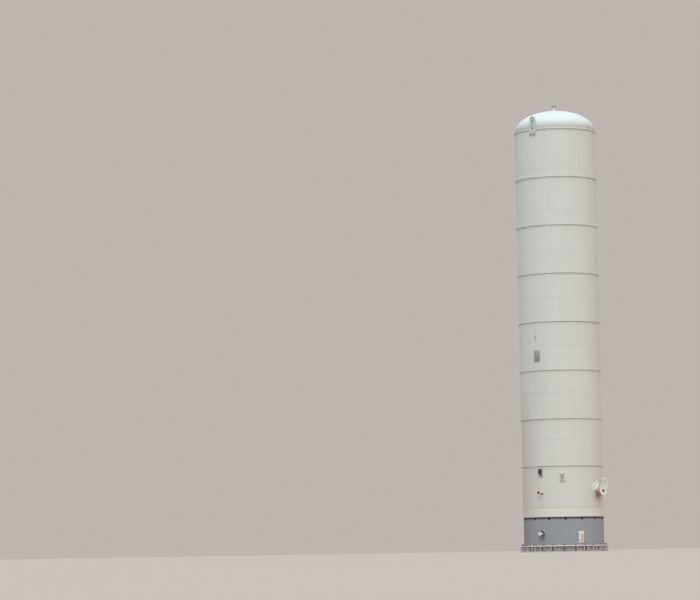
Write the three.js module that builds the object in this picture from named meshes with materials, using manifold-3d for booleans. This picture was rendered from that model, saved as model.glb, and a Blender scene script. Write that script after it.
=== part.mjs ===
// A vertical gas vessel: a domed steel cylinder with stiffening rings, standing on a skirt.
// Millimetres, +Z up. The origin is the centre of the base ring's underside, on the vessel's axis.
// An azimuth is measured from the front (-Y) towards the right (+X).

import * as THREE from 'three';
import { mergeVertices } from 'three/addons/utils/BufferGeometryUtils.js';
import Module from 'manifold-3d';

const wasm = await Module();
wasm.setup();

// Driving dimensions of the pressure vessel
const shellRadius = 2300;
const shellWall = 50;
const headDepth = 1175;
const bottomSeam = 2505;
const courseTops = [6355, 9055, 11755, 14455, 17155, 19450, 21890, 24330];
const topSeam = courseTops.at(-1);

// Driving dimensions of the stiffening rings, flat bars set on edge
const ringWidth = 70;
const ringThickness = 12;
const lowestRing = 4870;
const secondRing = 7550;
const ringSpacing = 2773;
const ringCount = 8;

// Driving dimensions of the skirt and the base ring
const skirtRadius = 2290;
const skirtWall = 20;
const upperSkirtWall = 16;
const edgeRing = { bottom: 1976, top: 2070, radius: 2316 };
const basePlate = { inner: 2200, outer: 2540, thickness: 50 };
const compressionRing = { outer: 2500, bottom: 312, top: 357 };
const chair = { count: 24, gussetThickness: 20, gussetSpread: 200, inset: 12 };
const vent = { count: 15, radius: 62, height: 1868, firstAzimuth: 3, sides: 10 };

// Driving dimensions of the fittings
const manway = {
  azimuth: 58.4, height: 3545, bore: 293, neck: 305, flange: 406.5, root: 10,
  flangeFrom: 2600, flangeTo: 2650, coverGap: 5, coverThickness: 48,
};
const handle = { bar: 18, halfWidth: 70, standoff: 58, drop: 130 };
const davit = { postOffset: 470, radius: 30, top: 570, bend: 250, reach: 150, hanger: 12 };
const davitSocket = {
  radius: 44, half: 120, bracketHalf: 90, collar: 40, collarHeight: 20, play: 1, lap: 40, margin: 3,
};
const topNozzle = {
  bore: 73, neck: 84, flange: 140, root: 20, flangeFrom: 25700, flangeTo: 25730, coverTo: 25815,
};
const lug = {
  azimuth: -32.8, width: 480, foot: 23885, top: 24980,
  headRadius: 165, thickness: 50, eye: 58, eyeHeight: 24797,
};
const smallNozzle = {
  azimuth: -31.2, height: 3355, bore: 24, neck: 30, flange: 75, end: 2670, thickness: 20,
};
const outlet = {
  azimuth: -31.4, height: 1030, bore: 50, neck: 57, bend: 152, root: 10,
  flange: 114.5, end: 2600, thickness: 24, hub: 60,
};
const sleeve = { radius: 200, wall: 10, inner: 2230, outer: 2360 };
const access = { azimuth: 180, height: 1050, radius: 312, wall: 12, inner: 2215, outer: 2370 };
const nameplate = { azimuth: -34.2, width: 340, tall: 600, height: 11150, standoff: 60, thickness: 6 };
const signBoard = { azimuth: 25, width: 330, tall: 680, height: 820, standoff: 25, thickness: 4 };
const plateReturn = { thickness: 8, inset: 20, share: 0.8 };
const leftClip = { azimuth: -32.6, width: 190, tall: 285, height: 4559, footWidth: 230, footHeight: 4316 };
const frontClip = {
  azimuth: -0.5, width: 140, tall: 270, height: 4250, footWidth: 260, footHeight: 4025, knobHeight: 4450,
};
const clipReach = {
  box: 120, strap: 40, foot: 70, strapWidth: 30, footTall: 80, knobWidth: 110, knobTall: 80,
};
const earthLug = { azimuth: -31.3, width: 60, tall: 160, height: 2620, reach: 40 };
const domeClip = { azimuth: 55.4, width: 134, tall: 300, above: 120, plate: 14, from: 2160, to: 2360 };

const roundSides = 36;
const smallSides = 24;
const bendSteps = 4;
const fitGap = 0.3;
const nozzlePlay = 1;
const seatSink = 20;
const shellInner = shellRadius - shellWall;

const paints = {
  offWhite: { color: '#c9cbc4', metalness: 0.1, roughness: 0.55 },
  domeWhite: { color: '#dfe6e3', metalness: 0.1, roughness: 0.45 },
  primerGrey: { color: '#84888b', metalness: 0.1, roughness: 0.7 },
  galvanised: { color: '#a9aaa8', metalness: 0.5, roughness: 0.55 },
  darkSteel: { color: '#4b4a46', metalness: 0.4, roughness: 0.7 },
  rustBrown: { color: '#7c5138', metalness: 0.2, roughness: 0.85 },
  signWhite: { color: '#dcd9d6', metalness: 0, roughness: 0.5 },
};

const radians = THREE.MathUtils.degToRad;
const part = new THREE.Group();

// A mesh with a paint of its own, added to the part and turned to its azimuth
function addPiece(name, solid, paint, azimuth = 0) {
  const mesh = new THREE.Mesh(toGeometry(solid), new THREE.MeshStandardMaterial(paints[paint]));
  mesh.name = name;
  mesh.rotation.z = radians(azimuth);
  part.add(mesh);
}

// A closed three.js geometry as a manifold solid, with its faces turned outwards
function toSolid(geometry) {
  const bare = geometry.clone();
  bare.deleteAttribute('normal');
  bare.deleteAttribute('uv');
  const merged = mergeVertices(bare, 1e-3);
  const vertProperties = Float32Array.from(merged.attributes.position.array);
  const triVerts = Uint32Array.from(merged.index.array).filter((_, i, all) => {
    const [a, b, c] = all.subarray(i - (i % 3), i - (i % 3) + 3);
    return a !== b && b !== c && c !== a;
  });
  if (signedVolume(vertProperties, triVerts) < 0) triVerts.reverse();
  return new wasm.Manifold(new wasm.Mesh({ numProp: 3, vertProperties, triVerts }));
}

function signedVolume(positions, indices) {
  const corners = [new THREE.Vector3(), new THREE.Vector3(), new THREE.Vector3()];
  let total = 0;
  for (let i = 0; i < indices.length; i += 3) {
    corners.forEach((corner, k) => corner.fromArray(positions, indices[i + k] * 3));
    total += corners[0].dot(corners[1].cross(corners[2])) / 6;
  }
  return total;
}

function toGeometry(solid) {
  const { vertProperties, triVerts } = solid.getMesh();
  const geometry = new THREE.BufferGeometry();
  geometry.setAttribute('position', new THREE.BufferAttribute(vertProperties, 3));
  geometry.setIndex(new THREE.BufferAttribute(triVerts, 1));
  geometry.computeVertexNormals();
  return geometry;
}

function joined(solids) {
  return solids.reduce((whole, next) => whole.add(next));
}

// A closed outline of [radius, height] points turned about Z, with corners at whole azimuth steps
function revolved(outline, sides = roundSides) {
  const points = outline.map(([radius, height]) => new THREE.Vector2(radius, height));
  if (outline[0][0] > 0) points.push(points[0].clone());
  const geometry = new THREE.LatheGeometry(points, sides);
  const yUpToZUp = new THREE.Matrix4().set(0, 0, 1, 0, 1, 0, 0, 0, 0, 1, 0, 0, 0, 0, 0, 1);
  return toSolid(geometry.applyMatrix4(yUpToZUp));
}

function tube(inner, outer, bottom, top, sides = roundSides) {
  return revolved([[inner, bottom], [outer, bottom], [outer, top], [inner, top]], sides);
}

function rod(radius, bottom, top, sides = smallSides) {
  return revolved([[0, bottom], [radius, bottom], [radius, top], [0, top]], sides);
}

function block(width, depth, height, x, y, z) {
  const geometry = new THREE.BoxGeometry(width, depth, height);
  geometry.translate(x, y, z);
  return toSolid(geometry);
}

// A solid made along Z, laid so that it points out of the vessel's front at the given height
function laidOutwards(solid, height) {
  return solid.rotate([90, 0, 0]).translate([0, 0, height]);
}

// What a round hole through the wall takes away at an azimuth
function wallHole(radius, height, azimuth, sides = smallSides) {
  return laidOutwards(rod(radius, shellRadius / 2, 2 * shellRadius, sides), height).rotate([0, 0, azimuth]);
}

// Points of the head's half ellipse, from the seam to the given radius at the crown
function headCurve(radius, depth, crownRadius, steps = 7) {
  const last = Math.acos(crownRadius / radius);
  return Array.from({ length: steps + 1 }, (_, i) => {
    const angle = (last * i) / steps;
    return [radius * Math.cos(angle), depth * Math.sin(angle)];
  });
}

// A 2:1 head as an outline that stands on height 0, open at the crown for its nozzle
function headOutline(crownRadius) {
  const outside = headCurve(shellRadius, headDepth, crownRadius);
  const inside = headCurve(shellInner, headDepth - shellWall, crownRadius);
  return [...outside, ...inside.reverse()];
}

// The head's outside with a hair's clearance, closed at the crown
function headClearance(base, crownRadius) {
  const curve = headCurve(shellRadius + fitGap, headDepth + fitGap, crownRadius);
  return [...curve, [0, curve.at(-1)[1]]].map(([radius, height]) => [radius, height + base]);
}

// The vessel's outside with a hair's clearance, which seats every fitting on the faceted wall
const envelope = revolved([
  [0, 0],
  [skirtRadius + fitGap, 0],
  [skirtRadius + fitGap, edgeRing.bottom],
  [edgeRing.radius + fitGap, edgeRing.bottom],
  [edgeRing.radius + fitGap, edgeRing.top],
  [shellRadius + fitGap, edgeRing.top],
  ...headClearance(topSeam, topNozzle.neck + nozzlePlay),
]);

function seated(solid, azimuth) {
  return solid.subtract(envelope.rotate([0, 0, -azimuth]));
}

// Shell courses, with the manway's hole through the lowest
function addShell() {
  courseTops.forEach((top, i) => {
    const bottom = i === 0 ? bottomSeam : courseTops[i - 1];
    let course = tube(shellInner, shellRadius, bottom + fitGap, top);
    if (i === 0) {
      course = course.subtract(wallHole(manway.neck + fitGap, manway.height, manway.azimuth));
    }
    addPiece(`shell_course_${i + 1}`, course, 'offWhite');
  });
}

function addHeads() {
  const top = revolved(headOutline(topNozzle.neck + nozzlePlay));
  const bottom = revolved(headOutline(outlet.neck + nozzlePlay)).rotate([180, 0, 0]);
  addPiece('top_head', top.translate([0, 0, topSeam + fitGap]), 'domeWhite');
  addPiece('bottom_head', bottom.translate([0, 0, bottomSeam]), 'offWhite');
}

// Stiffening rings; the top one is in two halves between the lifting lugs
function addRings() {
  for (let i = 0; i < ringCount; i += 1) {
    const height = i === 0 ? lowestRing : secondRing + (i - 1) * ringSpacing;
    const low = height - ringThickness / 2;
    const ring = tube(shellRadius + fitGap, shellRadius + ringWidth, low, low + ringThickness);
    if (i < ringCount - 1) {
      addPiece(`support_ring_${i + 1}`, ring, 'offWhite');
      continue;
    }
    const gap = lug.width + 2 * ringThickness;
    const reach = 2 * shellRadius;
    for (const [side, sign] of [['right', 1], ['left', -1]]) {
      const half = block(reach, 2 * reach, 2 * ringWidth, sign * (gap + reach) / 2, 0, height);
      addPiece(`support_ring_${i + 1}_${side}`, ring.intersect(half.rotate([0, 0, lug.azimuth])), 'offWhite');
    }
  }
}

// The painted upper skirt with its edge ring, and the grey lower skirt in two halves, with its openings
function addSkirt() {
  const head = revolved([[0, 0], ...headClearance(0, outlet.neck + nozzlePlay)]);
  const headBelow = head.rotate([180, 0, 0]).translate([0, 0, bottomSeam]);
  const inner = skirtRadius - skirtWall;
  const upper = joined([
    tube(shellRadius - upperSkirtWall, shellRadius, edgeRing.top - 1, bottomSeam - 1),
    tube(inner, edgeRing.radius, edgeRing.bottom + fitGap, edgeRing.top),
  ]);
  addPiece('upper_skirt', upper.subtract(headBelow), 'offWhite');

  const cuts = [
    wallHole(sleeve.radius + fitGap, outlet.height, outlet.azimuth),
    wallHole(access.radius + fitGap, access.height, access.azimuth),
  ];
  for (let i = 0; i < vent.count; i += 1) {
    cuts.push(wallHole(vent.radius, vent.height, vent.firstAzimuth + (i * 360) / vent.count, vent.sides));
  }
  const plate = tube(inner, skirtRadius, basePlate.thickness + fitGap, edgeRing.bottom);
  const lower = plate.subtract(joined(cuts));
  const reach = 2 * shellRadius;
  for (const [side, sign] of [['front', -1], ['back', 1]]) {
    const half = block(2 * reach, reach, reach, 0, (sign * (reach + fitGap)) / 2, reach / 2);
    addPiece(`lower_skirt_${side}`, lower.intersect(half), 'primerGrey');
  }

  const sleeveTube = tube(sleeve.radius - sleeve.wall, sleeve.radius, sleeve.inner, sleeve.outer, smallSides);
  addPiece('pipe_sleeve', laidOutwards(sleeveTube, outlet.height), 'primerGrey', outlet.azimuth);
  const collar = tube(access.radius - access.wall, access.radius, access.inner, access.outer, smallSides);
  addPiece('access_collar', laidOutwards(collar, access.height), 'primerGrey', access.azimuth);
}

// The base ring, and on it the anchor chairs: gussets welded under one compression ring
function addBaseRing() {
  addPiece('base_ring', tube(basePlate.inner, basePlate.outer, 0, basePlate.thickness), 'primerGrey');
  const { outer, bottom, top } = compressionRing;
  const solids = [tube(skirtRadius + fitGap, outer, bottom, top)];
  const reach = outer - chair.inset - (skirtRadius + 1);
  const foot = basePlate.thickness + fitGap;
  const head = bottom + 1;
  for (let i = 0; i < chair.count; i += 1) {
    for (const side of [-1, 1]) {
      const gusset = block(
        chair.gussetThickness, reach, head - foot,
        (side * chair.gussetSpread) / 2, -(skirtRadius + 1 + reach / 2), (head + foot) / 2,
      );
      solids.push(gusset.rotate([0, 0, (i * 360) / chair.count]));
    }
  }
  addPiece('anchor_chairs', joined(solids), 'primerGrey');
}

// Manway neck and flange; its cover hangs from a davit and swings aside with it
function addManway() {
  const { azimuth, height, bore, neck, flange, root, flangeFrom, flangeTo } = manway;
  const nozzle = revolved([
    [bore, shellInner - root], [neck, shellInner - root], [neck, flangeFrom],
    [flange, flangeFrom], [flange, flangeTo], [bore, flangeTo],
  ], smallSides);
  addPiece('manway_nozzle', laidOutwards(nozzle, height), 'offWhite', azimuth);

  const coverFrom = flangeTo + manway.coverGap;
  const coverTo = coverFrom + manway.coverThickness;
  const disc = laidOutwards(rod(flange, coverFrom, coverTo), height);
  addPiece('manway_cover', disc.add(coverHandle(coverTo, height)), 'offWhite', azimuth);

  const plane = (coverFrom + coverTo) / 2;
  addPiece('manway_davit', davitArm(plane, height), 'offWhite', azimuth);
  addPiece('manway_davit_socket', davitBracket(plane, height), 'offWhite', azimuth);
}

function coverHandle(coverTo, height) {
  const { bar, halfWidth, standoff, drop } = handle;
  const level = height - drop;
  const legs = [-1, 1].map((side) =>
    block(bar, standoff + 2, bar, side * halfWidth, -(coverTo + standoff / 2 - 1), level));
  return joined([...legs, block(2 * halfWidth + bar, bar, bar, 0, -(coverTo + standoff), level)]);
}

// The davit's socket on a bracket that is welded to the flange's rim
function davitBracket(plane, height) {
  const { flange, flangeFrom, flangeTo } = manway;
  const { radius, half, bracketHalf, play, lap, margin } = davitSocket;
  const offset = davit.postOffset;
  const shank = block(offset - flange + lap, flangeTo - flangeFrom - 2 * margin, 2 * bracketHalf,
    (offset + flange - lap) / 2, -(flangeFrom + flangeTo) / 2, height);
  const web = block(2 * (radius - margin), plane - flangeFrom - margin, 2 * bracketHalf,
    offset, -(plane + flangeFrom + margin) / 2, height);
  const outside = rod(radius, height - half, height + half, 16).translate([offset, -plane, 0]);
  const postHole = rod(davit.radius + play, height - 2 * half, height + 2 * half, 16)
    .translate([offset, -plane, 0]);
  const rim = laidOutwards(rod(flange + fitGap, flangeFrom - flange, flangeTo + 1), height);
  return joined([shank, web, outside]).subtract(postHole).subtract(rim);
}

// The davit: a post that turns in its socket, an arched arm over the cover and a hanger to the cover's rim
function davitArm(plane, height) {
  const { postOffset, radius, top, bend, reach, hanger } = davit;
  const { half, collar, collarHeight } = davitSocket;
  const bendPoint = (i) => {
    const angle = (i * Math.PI) / 2 / bendSteps;
    return [postOffset - bend * (1 - Math.cos(angle)), top - bend * (1 - Math.sin(angle))];
  };
  const bends = Array.from({ length: bendSteps + 1 }, (_, i) => bendPoint(i));
  const corners = [[postOffset, -half], ...bends, [-reach, top]];
  const bar = swept(corners.map(([x, z]) => new THREE.Vector3(x, -plane, height + z)), radius, 0, 8);
  const rim = height + manway.flange + fitGap;
  const foot = height + half;
  return joined([
    bar,
    rod(hanger, rim, height + top, 8).translate([0, -plane, 0]),
    rod(collar, foot + fitGap, foot + collarHeight, 16).translate([postOffset, -plane, 0]),
  ]);
}

// A path through corners, whose steps fall on them however far apart they are
class CornerPath extends THREE.Curve {
  constructor(corners) {
    super();
    this.corners = corners;
  }

  getPoint(t, target = new THREE.Vector3()) {
    const place = t * (this.corners.length - 1);
    const i = Math.min(Math.floor(place), this.corners.length - 2);
    return target.lerpVectors(this.corners[i], this.corners[i + 1], place - i);
  }

  getUtoTmapping(u) {
    return u;
  }
}

// A round bar or, with an inner radius, a pipe through the corners
function swept(corners, outer, inner, sides) {
  const circle = (radius) =>
    Array.from({ length: sides }, (_, i) => {
      const angle = (i * 2 * Math.PI) / sides;
      return new THREE.Vector2(radius * Math.cos(angle), radius * Math.sin(angle));
    });
  const section = new THREE.Shape(circle(outer));
  if (inner > 0) section.holes.push(new THREE.Path(circle(inner).reverse()));
  const options = { steps: corners.length - 1, extrudePath: new CornerPath(corners) };
  return toSolid(new THREE.ExtrudeGeometry(section, options));
}

function addTopNozzle() {
  const { bore, neck, flange, flangeFrom, flangeTo, coverTo, root } = topNozzle;
  const start = topSeam + headDepth - shellWall - root;
  const nozzle = revolved([
    [bore, start], [neck, start], [neck, flangeFrom],
    [flange, flangeFrom], [flange, flangeTo], [bore, flangeTo],
  ], smallSides);
  addPiece('top_nozzle', nozzle, 'domeWhite');
  addPiece('top_nozzle_cover', rod(flange, flangeTo + fitGap, coverTo), 'rustBrown');
}

// Two tall lifting lugs, flat plates against the top course, each with an eye over the dome's edge
function addLugs() {
  const { azimuth, width, foot, top, headRadius, thickness, eye, eyeHeight } = lug;
  const half = width / 2;
  const outline = new THREE.Shape();
  outline.moveTo(-half, foot);
  outline.lineTo(half, foot);
  outline.lineTo(half, topSeam);
  outline.lineTo(headRadius, top - headRadius);
  outline.absarc(0, top - headRadius, headRadius, 0, Math.PI, false);
  outline.lineTo(-half, topSeam);
  const options = { depth: thickness + seatSink, bevelEnabled: false, curveSegments: 6 };
  const plate = toSolid(new THREE.ExtrudeGeometry(outline, options));
  const standing = plate.rotate([90, 0, 0]).translate([0, -(shellRadius - seatSink), 0]);
  const hole = laidOutwards(rod(eye, shellInner, shellRadius + 2 * thickness, 16), eyeHeight);
  for (const [name, angle] of [['front', azimuth], ['back', azimuth + 180]]) {
    addPiece(`lifting_lug_${name}`, seated(standing.subtract(hole), angle), 'offWhite', angle);
  }
}

function addSmallNozzle() {
  const { azimuth, height, bore, neck, flange, end, thickness } = smallNozzle;
  const nozzle = revolved([
    [bore, shellRadius - seatSink], [neck, shellRadius - seatSink], [neck, end - thickness],
    [flange, end - thickness], [flange, end], [bore, end],
  ], 16);
  addPiece('drain_nozzle', seated(laidOutwards(nozzle, height), azimuth), 'offWhite', azimuth);
  const blind = rod(flange, end + fitGap, end + thickness, 16);
  addPiece('drain_nozzle_cover', laidOutwards(blind, height), 'rustBrown', azimuth);
}

// The outlet pipe leaves the bottom head, turns in an elbow and runs out of the skirt to a neck flange
function addOutlet() {
  const { azimuth, height, bore, neck, flange, end, thickness, hub, bend, root } = outlet;
  const start = bottomSeam - headDepth + shellWall + root;
  const bendPoint = (i) => {
    const angle = (i * Math.PI) / 2 / bendSteps;
    return new THREE.Vector3(0, -bend * (1 - Math.cos(angle)), height + bend * (1 - Math.sin(angle)));
  };
  const bends = Array.from({ length: bendSteps + 1 }, (_, i) => bendPoint(i));
  const mouth = new THREE.Vector3(0, -(end - hub - fitGap), height);
  const corners = [new THREE.Vector3(0, 0, start), ...bends, mouth];
  addPiece('outlet_pipe', swept(corners, neck, bore, 12), 'signWhite', azimuth);
  const neckFlange = revolved([
    [bore, end - hub], [neck, end - hub], [neck, end - thickness],
    [flange, end - thickness], [flange, end], [bore, end],
  ], smallSides);
  addPiece('outlet_flange', laidOutwards(neckFlange, height), 'signWhite', azimuth);
  const blind = rod(flange, end + fitGap, end + thickness);
  addPiece('outlet_cover', laidOutwards(blind, height), 'signWhite', azimuth);
}

// A plate that stands in front of the wall on two side returns
function standingPlate({ width, tall, height, standoff, thickness, azimuth }, wallRadius) {
  const face = wallRadius + standoff;
  const depth = standoff + seatSink;
  const plate = block(width, thickness, tall, 0, -(face + thickness / 2), height);
  const returns = [-1, 1].map((side) => block(plateReturn.thickness, depth, tall * plateReturn.share,
    side * (width / 2 - plateReturn.inset), -(face - depth / 2 + 1), height));
  return seated(joined([plate, ...returns]), azimuth);
}

// A support clip: a box on a strap with a foot bar below and, on one of them, a knob above
function supportClip({ azimuth, width, tall, height, footWidth, footHeight, knobHeight }) {
  const from = shellRadius - seatSink;
  const standing = (wide, reach, high, level) => {
    const depth = seatSink + reach;
    return block(wide, depth, high, 0, -(from + depth / 2), level);
  };
  const strapTop = knobHeight ?? height;
  const solids = [
    standing(width, clipReach.box, tall, height),
    standing(clipReach.strapWidth, clipReach.strap, strapTop - footHeight, (strapTop + footHeight) / 2),
    standing(footWidth, clipReach.foot, clipReach.footTall, footHeight),
  ];
  if (knobHeight) solids.push(standing(clipReach.knobWidth, clipReach.box, clipReach.knobTall, knobHeight));
  return seated(joined(solids), azimuth);
}

function addSmallFittings() {
  addPiece('nameplate', standingPlate(nameplate, shellRadius), 'galvanised', nameplate.azimuth);
  addPiece('sign_board', standingPlate(signBoard, skirtRadius), 'signWhite', signBoard.azimuth);
  addPiece('support_clip_left', supportClip(leftClip), 'darkSteel', leftClip.azimuth);
  addPiece('support_clip_front', supportClip(frontClip), 'offWhite', frontClip.azimuth);

  const depth = seatSink + earthLug.reach;
  const middle = shellRadius - seatSink + depth / 2;
  const tab = block(earthLug.width, depth, earthLug.tall, 0, -middle, earthLug.height);
  addPiece('earth_lug', seated(tab, earthLug.azimuth), 'offWhite', earthLug.azimuth);

  const { azimuth, width, tall, above, plate, from, to } = domeClip;
  const level = topSeam + above;
  const sides = [-1, 1].map((side) =>
    block(plate, to - from, tall, (side * (width - plate)) / 2, -(from + to) / 2, level));
  const front = block(width, plate, tall, 0, -(to - plate / 2), level);
  addPiece('dome_clip', seated(joined([...sides, front]), azimuth), 'offWhite', azimuth);
}

addBaseRing();
addSkirt();
addShell();
addHeads();
addRings();
addTopNozzle();
addLugs();
addManway();
addSmallNozzle();
addOutlet();
addSmallFittings();

export default part;
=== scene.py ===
# Looks of a domed vertical gas vessel: smooth plates, welds, bolting, weathered paint, floor, light and camera.
# Metres, +Z up. An azimuth is measured from the front (-Y) towards the right (+X).
import math

import bmesh
import bpy
from mathutils import Matrix, Vector


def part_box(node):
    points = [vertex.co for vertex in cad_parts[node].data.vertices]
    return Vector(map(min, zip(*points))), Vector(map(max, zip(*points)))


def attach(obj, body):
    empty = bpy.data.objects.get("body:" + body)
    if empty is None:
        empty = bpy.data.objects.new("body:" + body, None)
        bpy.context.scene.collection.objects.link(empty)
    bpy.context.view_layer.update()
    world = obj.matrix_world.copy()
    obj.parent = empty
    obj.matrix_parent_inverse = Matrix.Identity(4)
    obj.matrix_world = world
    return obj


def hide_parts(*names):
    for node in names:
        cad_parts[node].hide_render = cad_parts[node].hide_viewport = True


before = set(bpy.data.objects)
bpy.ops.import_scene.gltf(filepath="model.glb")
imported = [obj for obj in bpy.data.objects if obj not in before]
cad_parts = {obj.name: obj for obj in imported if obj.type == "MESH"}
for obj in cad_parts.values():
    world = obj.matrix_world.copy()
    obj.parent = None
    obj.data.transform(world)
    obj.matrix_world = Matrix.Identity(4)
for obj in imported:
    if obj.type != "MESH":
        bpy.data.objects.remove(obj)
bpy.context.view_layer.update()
print("frame loaded")

shellRadius = 2.3
skirtRadius = 2.29
fineSteps = 240
nozzleSteps = 48
doorSteps = 64
proud = 0.0005  # keeps one face just off another
mergeGap = 1e-6
sharpAngle = math.radians(32)
cutReach = (2.0, 2.5)  # where a wall's cutter starts and ends, from the axis
hexRatio = 1.732  # across a nut's flats over its corner radius
upright = Matrix.Identity(4)


# Mesh helpers. A wall frame has x to the right, y up and z out of the wall.

def wallFrame(azimuth, height, radius=0.0):
    turn = math.radians(azimuth)
    right = Vector((math.cos(turn), math.sin(turn), 0))
    out = Vector((math.sin(turn), -math.cos(turn), 0))
    place = Matrix((right, (0, 0, 1), out)).transposed().to_4x4()
    place.translation = out * radius + Vector((0, 0, height))
    return place


def placeOf(spec, radius=0.0):
    return wallFrame(spec["azimuth"], spec["height"], radius)


def addSpin(bm, outline, place=upright, steps=nozzleSteps):
    # outline: (radius, height) points round the place's z axis; it closes on itself or runs from axis to axis
    verts = [bm.verts.new((radius, 0, height)) for radius, height in outline]
    edges = [bm.edges.new(pair) for pair in zip(verts, verts[1:])]
    if outline[0][0] > 0:
        edges.append(bm.edges.new((verts[-1], verts[0])))
    before = set(bm.verts) - set(verts)
    bmesh.ops.spin(
        bm, geom=verts + edges, cent=(0, 0, 0), axis=(0, 0, 1), dvec=(0, 0, 0),
        angle=math.tau, steps=steps, use_merge=True, use_duplicate=False,
    )
    made = [v for v in bm.verts if v not in before]
    bmesh.ops.remove_doubles(bm, verts=made, dist=mergeGap)
    made = [v for v in bm.verts if v not in before]
    bmesh.ops.transform(bm, matrix=place, verts=made)
    return made


def addRod(bm, radius, start, end, place, steps=24, chamfer=0.002):
    edge = min(chamfer, radius / 3, (end - start) / 3)
    outline = [
        (0, start), (radius - edge, start), (radius, start + edge),
        (radius, end - edge), (radius - edge, end), (0, end),
    ]
    return addSpin(bm, outline, place, steps)


def addTube(bm, inner, outer, start, end, place=upright, steps=nozzleSteps, chamfer=0.002):
    edge = min(chamfer, (outer - inner) / 3, (end - start) / 3)
    outline = [
        (inner + edge, start), (outer - edge, start), (outer, start + edge), (outer, end - edge),
        (outer - edge, end), (inner + edge, end), (inner, end - edge), (inner, start + edge),
    ]
    return addSpin(bm, outline, place, steps)


def bevelEdges(bm, edges, offset, segments=2):
    return bmesh.ops.bevel(
        bm, geom=edges, offset=offset, offset_type="OFFSET", affect="EDGES", segments=segments, profile=0.5,
        material=-1,
    )["verts"]


def addBlock(bm, size, centre, place, bevel=0.003):
    made = bmesh.ops.create_cube(bm, size=1)["verts"]
    bmesh.ops.scale(bm, vec=size, verts=made)
    edges = list({e for v in made for e in v.link_edges})
    made = bevelEdges(bm, edges, min(bevel, min(size) / 3))
    bmesh.ops.transform(bm, matrix=place @ Matrix.Translation(centre), verts=made)


def connected(start):
    found, edge = {start}, [start]
    while edge:
        edge = [w for v in edge for e in v.link_edges for w in e.verts if w not in found]
        found.update(edge)
    return list(found)


def addNut(bm, across, start, end, place):
    corner = across / hexRatio
    made = bmesh.ops.create_cone(
        bm, cap_ends=True, segments=6, radius1=corner, radius2=corner, depth=end - start,
        matrix=place @ Matrix.Translation((0, 0, (start + end) / 2)),
    )["verts"]
    flat = list({f for v in made for f in v.link_faces if len(f.verts) == 6})
    rims = list({e for f in flat for e in f.edges})
    bevelEdges(bm, rims, across * 0.05, 1)


def only(geom, kind):
    return [g for g in geom if isinstance(g, kind)]


def addBend(bm, radius, points, bendRadius, place, sides, bendSteps):
    # a round bar through corner points, with arcs of the bend radius at the inner ones
    corners = [Vector(p) for p in points]
    heading = (corners[1] - corners[0]).normalized()
    ring = bmesh.ops.create_circle(
        bm, cap_ends=False, segments=sides, radius=radius,
        matrix=Matrix.Translation(corners[0]) @ heading.to_track_quat("Z", "Y").to_matrix().to_4x4(),
    )["verts"]
    edges = list({e for v in ring for e in v.link_edges})
    bmesh.ops.contextual_create(bm, geom=edges)
    here = corners[0]
    for i in range(1, len(corners)):
        ahead = (corners[i + 1] - corners[i]).normalized() if i + 1 < len(corners) else None
        turn = heading.angle(ahead) if ahead else 0
        stop = corners[i] - heading * bendRadius * math.tan(turn / 2)
        grown = bmesh.ops.extrude_edge_only(bm, edges=edges)["geom"]
        ring = only(grown, bmesh.types.BMVert)
        edges = [e for e in only(grown, bmesh.types.BMEdge) if all(v in ring for v in e.verts)]
        bmesh.ops.translate(bm, vec=stop - here, verts=ring)
        if ahead:
            axis = heading.cross(ahead).normalized()
            centre = stop + axis.cross(heading) * bendRadius
            last = bmesh.ops.spin(
                bm, geom=ring + edges, cent=centre, axis=axis, dvec=(0, 0, 0), angle=turn, steps=bendSteps,
                use_merge=False, use_duplicate=False,
            )["geom_last"]
            ring = only(last, bmesh.types.BMVert)
            edges = only(last, bmesh.types.BMEdge)
            heading = ahead
            here = corners[i] + heading * bendRadius * math.tan(turn / 2)
    bmesh.ops.contextual_create(bm, geom=edges)
    bmesh.ops.transform(bm, matrix=place, verts=connected(ring[0]))


def hugWall(verts, place, radius=shellRadius):
    # presses a flat shape, made in a wall frame on the axis, onto the round wall
    back = place.inverted()
    for vert in verts:
        local = back @ vert.co
        local.z += math.sqrt(radius ** 2 - local.x ** 2) - radius
        vert.co = place @ local


def addBead(bm, outline, place, wallRadius=shellRadius, steps=nozzleSteps):
    hugWall(addSpin(bm, outline, place, steps), place, wallRadius)


def addFillet(bm, radius, level, size, place, wallRadius=shellRadius, steps=nozzleSteps):
    # a three-cornered weld where a round neck of a radius meets the wall
    addBead(bm, [(radius, level), (radius + size, level), (radius, level + size)], place, wallRadius, steps)


def linkMesh(name, bm, finish):
    bmesh.ops.remove_doubles(bm, verts=bm.verts, dist=2e-6)
    bmesh.ops.recalc_face_normals(bm, faces=bm.faces)
    mesh = bpy.data.meshes.new(name)
    bm.to_mesh(mesh)
    bm.free()
    mesh.shade_smooth()
    mesh.set_sharp_from_angle(angle=sharpAngle)
    obj = bpy.data.objects.new(name, mesh)
    bpy.context.collection.objects.link(obj)
    obj.data.materials.append(finish)
    return obj


def addPiece(name, bm, finish, slotName="off_white_paint", nodes=(), body="vessel"):
    obj = linkMesh(name, bm, finish)
    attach(obj, body)
    if nodes:
        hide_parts(*nodes)
    return obj


def cutHoles(obj, rods):
    # rods: (radius, start, end, place, steps), cut clean through the piece
    bm = bmesh.new()
    for radius, start, end, place, steps in rods:
        addRod(bm, radius, start, end, place, steps, chamfer=0)
    cutter = linkMesh(obj.name + "_cutter", bm, obj.data.materials[0])
    boolean = obj.modifiers.new("holes", "BOOLEAN")
    boolean.operation = "DIFFERENCE"
    boolean.solver = "EXACT"
    boolean.object = cutter
    evaluated = obj.evaluated_get(bpy.context.evaluated_depsgraph_get())
    mesh = bpy.data.meshes.new_from_object(evaluated)
    obj.modifiers.clear()
    obj.data = mesh
    mesh.set_sharp_from_angle(angle=sharpAngle)
    bpy.data.objects.remove(cutter)


# Material helpers

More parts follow.
